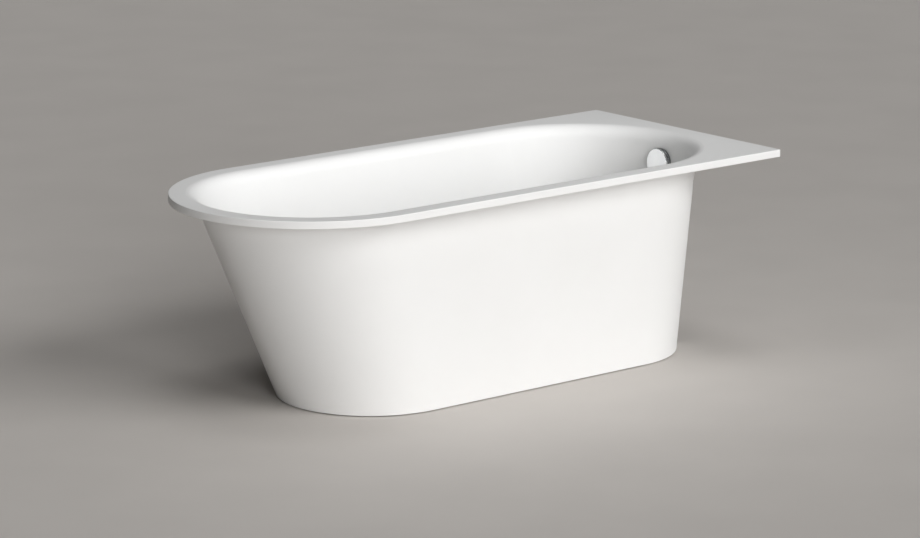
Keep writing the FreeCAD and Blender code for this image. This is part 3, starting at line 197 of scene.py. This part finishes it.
# Rails, nuts, screws and threaded rods: folded and turned steel, bright zinc plated.
# The plate shows a faint blue and yellow bloom and the fine lines of the rolled sheet.
zinc_cool, zinc_warm = (0.56, 0.58, 0.61), (0.63, 0.61, 0.55)
zinc, tree, shader, place = new_finish("zinc_plated_steel")
tree.links.new(tones(tree, grain(tree, place, 30.0), zinc_cool, zinc_warm), shader.inputs["Base Color"])
rolling = grain(tree, place, 220.0, 2.0, (1, 0.05, 1))
tree.links.new(spread(tree, rolling, 0.26, 0.42), shader.inputs["Roughness"])
shader.inputs["Metallic"].default_value = 1.0
relief(tree, shader, grain(tree, place, 500.0, 2.0, (1, 0.05, 1)), 0.00003, 0.4)
dress("head_rail", zinc)
dress("foot_rail", zinc)

# Rods of the levelling feet: turned steel on a round base that stands in the pad.
# The thread of 12 mm is rolled, and its end runs out in a short cone.
turned_steps, thread_rows, root_share, flank_share = 36, 8, 0.15, 0.7


def circle(radius, height, steps=turned_steps, factor=None):
    """One ring of points about the Z axis; factor(angle) scales the radius."""
    points = []
    for k in range(steps):
        angle = 2 * math.pi * k / steps
        reach = radius * factor(angle) if factor else radius
        points.append(Vector((reach * math.cos(angle), reach * math.sin(angle), height)))
    return points


def thread(radius, pitch, depth, low, high, end_radius):
    """Rings of a helical thread between two heights, running out in a cone at the high end."""
    rings = []
    for row in range(int((high - low) / pitch * thread_rows) + 1):
        height = low + row * pitch / thread_rows

        def profile(angle):
            share = (height / pitch - angle / (2 * math.pi)) % 1
            crest = min(1, max(0, (1 - abs(2 * share - 1) - root_share) / flank_share))
            return min(radius - depth * (1 - crest), end_radius + high - height) / radius
        rings.append(circle(radius, height, factor=profile))
    return rings


rod_radius, rod_pitch, thread_depth = 0.006, 0.00175, 0.0010
base_radius, base_height, base_chamfer, root_fillet = 0.014, 0.004, 0.0005, 0.0012
thread_start, end_cone, near_axis = 0.0056, 0.0015, 0.0001
rod_places = []
for node in ("head_near_rod", "head_far_rod", "foot_near_rod", "foot_far_rod"):
    low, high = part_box(node)
    rod_places.append(((low[0] + high[0]) / 2, (low[1] + high[1]) / 2))
    base, top = low[2], high[2]
    base_profile = ((near_axis, 0.0), (base_radius - base_chamfer, 0.0), (base_radius, base_chamfer),
                    (base_radius, base_height - base_chamfer), (base_radius - base_chamfer, base_height),
                    (rod_radius + root_fillet, base_height + near_axis),
                    (rod_radius, base_height + root_fillet))
    rings = [circle(r, base + z) for r, z in base_profile]
    rings += thread(rod_radius, rod_pitch, thread_depth, base + thread_start, top, rod_radius - end_cone)
    rings += [circle(rod_radius - end_cone - near_axis, top), circle(near_axis, top)]
    skin(node + "_turned", [(Matrix.Translation((*rod_places[-1], 0)), rings, False)], zinc, "zinc_steel",
         node.replace("_rod", "_foot"), node)

# Nuts of the feet: zinc-plated hexagons of 19 mm with their corners turned off.
# The upper ones are tacked under the rails with three short welds each, the lower ones lock the rods.
flats, corner_round, corner_angle, hexagon_steps = 0.019, 0.00912, math.radians(30), 72
bore_gap, bore_chamfer = 0.0001, 0.0006
tack_half_width, tack_half_length, tack_height, tack_inset = 0.0014, 0.0034, 0.0013, 0.0003


def hexagon(angle):
    """How much farther a hexagon reaches at an angle than at its flats."""
    return 1 / math.cos(angle % (math.pi / 3) - math.pi / 6)


def nut_rings(low, high):
    """A hexagon nut whose corners run into a cone at both ends."""
    side_low = circle(flats / 2, 0, hexagon_steps, hexagon)
    side_high = circle(flats / 2, 0, hexagon_steps, hexagon)
    for k in range(hexagon_steps):
        reach = hexagon(2 * math.pi * k / hexagon_steps) * flats / 2
        bevel = (reach - corner_round) * math.tan(corner_angle)
        side_low[k].z, side_high[k].z = low + bevel, high - bevel
    bore = rod_radius + bore_gap
    below = [circle(bore, low + bore_chamfer, hexagon_steps), circle(bore + bore_chamfer, low, hexagon_steps),
             circle(corner_round, low, hexagon_steps)]
    above = [circle(corner_round, high, hexagon_steps), circle(bore + bore_chamfer, high, hexagon_steps),
             circle(bore, high - bore_chamfer, hexagon_steps)]
    return below + [side_low, side_high] + above


def weld_tack(place, angle, level):
    """A short weld bead where a flat of a nut meets the sheet above it."""
    seat = place @ Matrix.Rotation(angle, 4, "Z") @ Matrix.Translation((flats / 2 + tack_inset, 0, level))
    turns = [2 * math.pi * k / 16 for k in range(15, -1, -1)]
    rings = []
    for step in range(9):
        swing = math.pi * step / 8 - math.pi / 2
        rings.append([Vector((tack_half_width * math.cos(swing) * math.cos(turn),
                              tack_half_length * math.sin(swing),
                              min(0, tack_height * math.cos(swing) * math.sin(turn)))) for turn in turns])
    return seat, rings, False


for node in ("weld_nuts", "lock_nuts"):
    low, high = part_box(node)
    stacks = []
    for x, y in rod_places:
        spot = Matrix.Translation((x, y, 0))
        stacks.append((spot, nut_rings(low[2], high[2]), True))
        if node == "weld_nuts":
            stacks += [weld_tack(spot, math.radians(30 + 120 * k), high[2]) for k in range(3)]
    skin(node + "_hexagon", stacks, zinc, "zinc_steel", "bath", node)

# Screws that hold the boards to the rails: zinc-plated steel, driven from below.
# They have pan heads of 10 mm with a pressed cross recess and a rolled thread.
recess_length, recess_width, recess_depth = 1.04, 0.22, 0.55


def cross_screw(head_radius, head_height, shank_radius, shank_length, pitch):
    """A pan-head screw with a thread; its head stands on z = 0 and carries a cross recess."""
    rings = [circle(near_axis, -shank_length)]
    depth, tip_radius = 0.22 * shank_radius, 0.3 * shank_radius
    for ring in reversed(thread(shank_radius, pitch, depth, 0.0004, shank_length, tip_radius)):
        rings.append([Vector((point.x, point.y, -point.z)) for point in ring])
    pan_profile = ((0.999 * shank_radius / head_radius, 0.0), (0.97, 0.0), (1.0, 0.08), (1.0, 0.42),
                   (0.975, 0.62), (0.90, 0.82), (0.76, 0.94), (0.55, 1.0), (0.02, 1.0))
    rings += [circle(r * head_radius, z * head_height) for r, z in pan_profile]
    blank = bpy.data.objects.new("screw_blank", ring_mesh("screw_blank", [(Matrix(), rings, False)]))
    tool_mesh = bpy.data.meshes.new("recess_tool")
    shape = bmesh.new()
    for length, width in ((recess_length, recess_width), (recess_width, recess_length)):
        bar = Matrix.Diagonal((length * head_radius, width * head_radius, 2 * recess_depth * head_height, 1))
        bmesh.ops.create_cube(shape, size=1, matrix=Matrix.Translation((0, 0, head_height)) @ bar)
    shape.to_mesh(tool_mesh)
    shape.free()
    tool = bpy.data.objects.new("recess_tool", tool_mesh)
    for thing in (blank, tool):
        bpy.context.scene.collection.objects.link(thing)
    cut = blank.modifiers.new("recess", "BOOLEAN")
    cut.operation, cut.object, cut.solver, cut.use_self = "DIFFERENCE", tool, "EXACT", True
    done = bpy.data.meshes.new_from_object(blank.evaluated_get(bpy.context.evaluated_depsgraph_get()))
    for thing in (blank, tool):
        bpy.data.objects.remove(thing)
    return done


def copies(name, mesh, places, finish, material_slot, body, *nodes):
    """One piece out of copies of a mesh at several places."""
    shape = bmesh.new()
    for place in places:
        count = len(shape.verts)
        shape.from_mesh(mesh)
        shape.verts.ensure_lookup_table()
        bmesh.ops.transform(shape, matrix=place, verts=shape.verts[count:])
    joined = bpy.data.meshes.new(name)
    shape.to_mesh(joined)
    shape.free()
    return show(name, joined, finish, material_slot, body, *nodes)


low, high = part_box("rail_screws")
screw_rows, pan_height, next_turn = (0.05, 0.12), 0.0025, 1.7
board_screw = cross_screw(head_radius=0.005, head_height=pan_height, shank_radius=0.0025,
                          shank_length=high[2] - low[2] - pan_height, pitch=0.0018)
upwards = Matrix.Rotation(math.pi, 4, "X")
screw_places = []
for x in sorted({place[0] for place in rod_places}):
    for y in (side * row for row in screw_rows for side in (-1, 1)):
        turn = Matrix.Rotation(next_turn * len(screw_places), 4, "Z")
        screw_places.append(Matrix.Translation((x, y, low[2] + pan_height)) @ upwards @ turn)
copies("rail_screws_pan_head", board_screw, screw_places, zinc, "zinc_steel", "bath", "rail_screws")

# Levelling pads, drum, cable sheath, lever and crank: moulded black nylon with a fine spark texture.
# The pads snap on the rods' bases; drum, cable, crank and lever pass the knob's turn on to the plug.
nylon_black, nylon_grey = (0.022, 0.022, 0.023), (0.040, 0.040, 0.041)
nylon, tree, shader, place = new_finish("black_nylon")
tree.links.new(tones(tree, grain(tree, place, 80.0), nylon_black, nylon_grey), shader.inputs["Base Color"])
tree.links.new(spread(tree, grain(tree, place, 150.0), 0.42, 0.58), shader.inputs["Roughness"])
relief(tree, shader, grain(tree, place, 1400.0, 2.0), 0.00004, 0.5)
for node in ("head_near_pad", "head_far_pad", "foot_near_pad", "foot_far_pad", "cable_drum", "control_cable",
             "lift_lever", "lever_crank"):
    dress(node, nylon)

# Waste body, trap, elbow and pipes: injection-moulded polypropylene, a satin off-white.
# The body hangs under the drain's flange, the trap on the body, and the elbow behind the foot wall.
moulded_light, moulded_dark = (0.78, 0.79, 0.79), (0.73, 0.74, 0.74)
moulded, tree, shader, place = new_finish("white_moulded_plastic")
clouds = grain(tree, place, 12.0)
tree.links.new(tones(tree, clouds, moulded_dark, moulded_light), shader.inputs["Base Color"])
tree.links.new(spread(tree, grain(tree, place, 90.0), 0.30, 0.42), shader.inputs["Roughness"])
relief(tree, shader, grain(tree, place, 300.0, 2.0), 0.00004, 0.35)
for node in ("waste_body", "trap_cup", "trap_lid", "outlet_pipe", "overflow_elbow", "overflow_pipe"):
    dress(node, moulded)

# Union nuts of the overflow pipe, nut of the trap's lid and coupling of the outlet: moulded polypropylene.
# Each has a plain collar and ribs for the hand, and screws on by its inner thread.
ribbed_steps, rib_depth, rib_start = 216, 0.035, 0.0006
collar_chamfer, rib_chamfer = 0.0008, 0.0012


def grip_rings(bore, outer, low, high, ribs, collar=0.0022):
    """A union nut: a plain collar, then ribs for the hand all round, chamfered at both ends."""
    def ribbed(angle):
        return 1 - rib_depth * max(0, math.cos(ribs * angle)) ** 0.5

    profile = ((bore, low, None), (outer - collar_chamfer, low, None), (outer, low + collar_chamfer, None),
               (outer, low + collar, None), (outer, low + collar + rib_start, ribbed),
               (outer, high - rib_chamfer, ribbed), (outer - rib_chamfer, high, ribbed), (bore, high, None))
    return [circle(radius, height, ribbed_steps, factor) for radius, height, factor in profile]


along_x, along_wall = Matrix.Rotation(math.pi / 2, 4, "Y"), Matrix.Rotation(math.radians(3.5), 4, "Y")
for node, turn, bore, outer, half_length, ribs in (
        ("pipe_nut_bottom", along_x, 0.01855, 0.0235, 0.009, 24),
        ("pipe_nut_top", along_wall, 0.01855, 0.0235, 0.009, 24),
        ("outlet_coupling", along_x, 0.02005, 0.026, 0.013, 28)):
    middle = Matrix.Translation([(a + b) / 2 for a, b in zip(*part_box(node))])
    rings = grip_rings(bore, outer, -half_length, half_length, ribs)
    skin(node + "_ribbed", [(middle @ turn, rings, True)], moulded, "white_plastic", "bath", node)

lid_bore, nut_radius, spout_bore, nut_floor, low_collar = 0.0251, 0.030, 0.0201, 0.003, 0.0008
low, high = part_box("trap_nut")
trap_axis = Matrix.Translation(((low[0] + high[0]) / 2, (low[1] + high[1]) / 2, 0))
trap_rings = grip_rings(lid_bore, nut_radius, low[2], high[2], 30, low_collar)
trap_rings[-1:] = [circle(spout_bore, high[2], ribbed_steps),
                   circle(spout_bore, low[2] + nut_floor, ribbed_steps),
                   circle(lid_bore, low[2] + nut_floor, ribbed_steps)]
skin("trap_nut_ribbed", [(trap_axis, trap_rings, True)], moulded, "white_plastic", "bath", "trap_nut")

# Seals of the drain, the plug, the waste body and the overflow: moulded rings of soft black rubber.
# They are dull with a trace of talc and are pressed between the faces that they close.
rubber_black, rubber_dusty = (0.020, 0.020, 0.020), (0.050, 0.049, 0.047)
rubber, tree, shader, place = new_finish("black_seal_rubber")
tree.links.new(tones(tree, grain(tree, place, 45.0), rubber_black, rubber_dusty), shader.inputs["Base Color"])
tree.links.new(spread(tree, grain(tree, place, 120.0), 0.6, 0.8), shader.inputs["Roughness"])
relief(tree, shader, grain(tree, place, 700.0, 2.0), 0.00005, 0.5)
for node in ("waste_flange_seal", "plug_seal", "waste_body_seal", "overflow_elbow_seal",
             "overflow_trim_seal"):
    dress(node, rubber)

# Overflow knob, drain flange and plug: turned brass, polished and chrome plated.
# The knob turns the wire's drum through its spindle; flange and plug sit in the well's floor.
chrome_light, chrome_dark = (0.86, 0.87, 0.88), (0.80, 0.81, 0.82)
chrome, tree, shader, place = new_finish("polished_chrome")
tree.links.new(tones(tree, grain(tree, place, 20.0), chrome_dark, chrome_light), shader.inputs["Base Color"])
tree.links.new(spread(tree, grain(tree, place, 160.0, 4.0), 0.05, 0.10), shader.inputs["Roughness"])
shader.inputs["Metallic"].default_value = 1.0
relief(tree, shader, grain(tree, place, 60.0, 2.0), 0.00001, 0.3)
for node in ("overflow_knob", "waste_flange", "waste_plug"):
    dress(node, chrome)

# Overflow trim: the collar round the hole in the foot wall, turned brass with a chrome plating.
# Its chrome colour is painted darker than the knob's: painted shade for the knob's shade and the dark it
# reflects.
collar_painted_shade_light, collar_painted_shade_dark = (0.48, 0.49, 0.50), (0.34, 0.35, 0.36)
chrome_with_painted_shade, tree, shader, place = new_finish("chrome_painted_shade")
tree.links.new(tones(tree, grain(tree, place, 35.0), collar_painted_shade_dark, collar_painted_shade_light), shader.inputs["Base Color"])
tree.links.new(spread(tree, grain(tree, place, 190.0, 4.0), 0.10, 0.18), shader.inputs["Roughness"])
shader.inputs["Metallic"].default_value = 1.0
relief(tree, shader, grain(tree, place, 80.0, 2.0), 0.00001, 0.3)
dress("overflow_trim", chrome_with_painted_shade)

# Knob's spindle, lever's axle and the control wire: plain stainless steel, drawn and lightly brushed.
# The spindle turns in the elbow's bush, the axle in the waste body.
stainless_light, stainless_dark = (0.62, 0.61, 0.59), (0.54, 0.53, 0.51)
stainless, tree, shader, place = new_finish("drawn_stainless_steel")
streaks = grain(tree, place, 60.0)
tree.links.new(tones(tree, streaks, stainless_dark, stainless_light), shader.inputs["Base Color"])
tree.links.new(spread(tree, grain(tree, place, 300.0), 0.22, 0.34), shader.inputs["Roughness"])
shader.inputs["Metallic"].default_value = 1.0
relief(tree, shader, grain(tree, place, 600.0, 2.0), 0.00002, 0.4)
for node in ("knob_spindle", "lever_axle", "control_wire"):
    dress(node, stainless)

# Two long stainless screws hold the trim to the elbow behind the wall and squeeze the seals.
# Their pan heads with a cross recess sit under the knob.
knob_joint = next(j for j in frame["record"]["behaviour"]["joints"] if j["name"] == "knob_turn")
outwards, across_wall = Vector(knob_joint["axis"]).normalized(), Vector((0, 1, 0))
overflow_frame = Matrix.Translation(knob_joint["pos_m"]) @ Matrix(
    (across_wall.cross(-outwards), across_wall, -outwards)).transposed().to_4x4()
trim_face, screw_circle, recess_turn = 0.004, 0.0155, 0.6
trim_screw = cross_screw(head_radius=0.004, head_height=0.002, shank_radius=0.002, shank_length=0.028,
                         pitch=0.0007)
screw_places = []
for side in (-1, 1):
    spot = Matrix.Translation((0, side * screw_circle, trim_face))
    screw_places.append(overflow_frame @ spot @ Matrix.Rotation(recess_turn * side, 4, "Z"))
copies("overflow_screws_pan_head", trim_screw, screw_places, stainless, "stainless", "bath",
       "overflow_screws")

# Setting: a plain pale floor under broad soft lights from the front and the right.
# Two weak soft panels above it lift the rim at its head and its foot.
floor_reach = 30.0
floor_light, floor_dark = (0.660, 0.626, 0.592), (0.640, 0.607, 0.574)
floor_mesh = bpy.data.meshes.new("floor")
floor_corners = [(x * floor_reach, y * floor_reach, 0) for x, y in ((-1, -1), (1, -1), (1, 1), (-1, 1))]
floor_mesh.from_pydata(floor_corners, [], [(0, 1, 2, 3)])
floor = bpy.data.objects.new("floor", floor_mesh)
bpy.context.scene.collection.objects.link(floor)
floor_finish, tree, shader, place = new_finish("plain_floor")
tree.links.new(tones(tree, grain(tree, place, 3.0), floor_dark, floor_light), shader.inputs["Base Color"])
tree.links.new(spread(tree, grain(tree, place, 6.0), 0.75, 0.85), shader.inputs["Roughness"])
floor_mesh.materials.append(floor_finish)

for name, azimuth, elevation, softness, strength in (
        ("low_front", -22, 12, 25, 1.45),
        ("side", 5, 32, 25, 0.87),
        ("side_right", 30, 32, 25, 0.68),
        ("overhead", 0, 85, 25, 0.34)):
    lamp_data = bpy.data.lights.new(name, "SUN")
    lamp_data.angle = math.radians(softness)
    lamp_data.energy = strength
    lamp = bpy.data.objects.new(name, lamp_data)
    lamp.rotation_euler = (math.radians(90 - elevation), 0, math.radians(azimuth))
    bpy.context.scene.collection.objects.link(lamp)

for name, place, size, power in (
        ("head_panel", (-0.35, -0.20, 1.90), 0.8, 2.1),
        ("foot_panel", (0.55, -0.20, 1.70), 0.8, 2.1)):
    lamp_data = bpy.data.lights.new(name, "AREA")
    lamp_data.size, lamp_data.energy = size, power
    lamp = bpy.data.objects.new(name, lamp_data)
    lamp.location = place
    bpy.context.scene.collection.objects.link(lamp)

world = bpy.data.worlds.new("soft_fill")
world.use_nodes = True
sky = world.node_tree
sky_place = sky.nodes.new("ShaderNodeTexCoord")
sky_split = sky.nodes.new("ShaderNodeSeparateXYZ")
sky.links.new(sky_place.outputs["Generated"], sky_split.inputs["Vector"])
sky_color = tones(sky, sky_split.outputs["Z"], (0.02, 0.02, 0.02), (0.10, 0.10, 0.10), 0.1, 1.0)
sky.links.new(sky_color, sky.nodes["Background"].inputs["Color"])
sky.nodes["Background"].inputs["Strength"].default_value = 0.4
bpy.context.scene.world = world

# Camera: the photograph's own viewpoint, from ten metres away through a long lens,
# with the bath's round head towards the left.
view_azimuth, view_elevation, view_roll = (math.radians(a) for a in (-39.1084, 13.0321, -0.1769))
view_distance = 10.1253
view_target = Vector((0.02232, 0, 0.28436))
picture_width, focal_length_px, sensor_width = 920, 3842.38, 36.0
back = Vector((math.sin(view_azimuth) * math.cos(view_elevation),
               -math.cos(view_azimuth) * math.cos(view_elevation), math.sin(view_elevation)))
across = Vector((math.cos(view_azimuth), math.sin(view_azimuth), 0))
up = back.cross(across)
right = across * math.cos(view_roll) + up * math.sin(view_roll)
camera_data = bpy.data.cameras.new("camera")
camera_data.sensor_width = sensor_width
camera_data.lens = focal_length_px * sensor_width / picture_width
camera_data.clip_end = 100
camera = bpy.data.objects.new("camera", camera_data)
camera.matrix_world = Matrix.Translation(view_target + back * view_distance) @ Matrix(
    (right, back.cross(right), back)).transposed().to_4x4()
bpy.context.scene.collection.objects.link(camera)
bpy.context.scene.camera = camera
bpy.context.scene.view_settings.view_transform = "Standard"
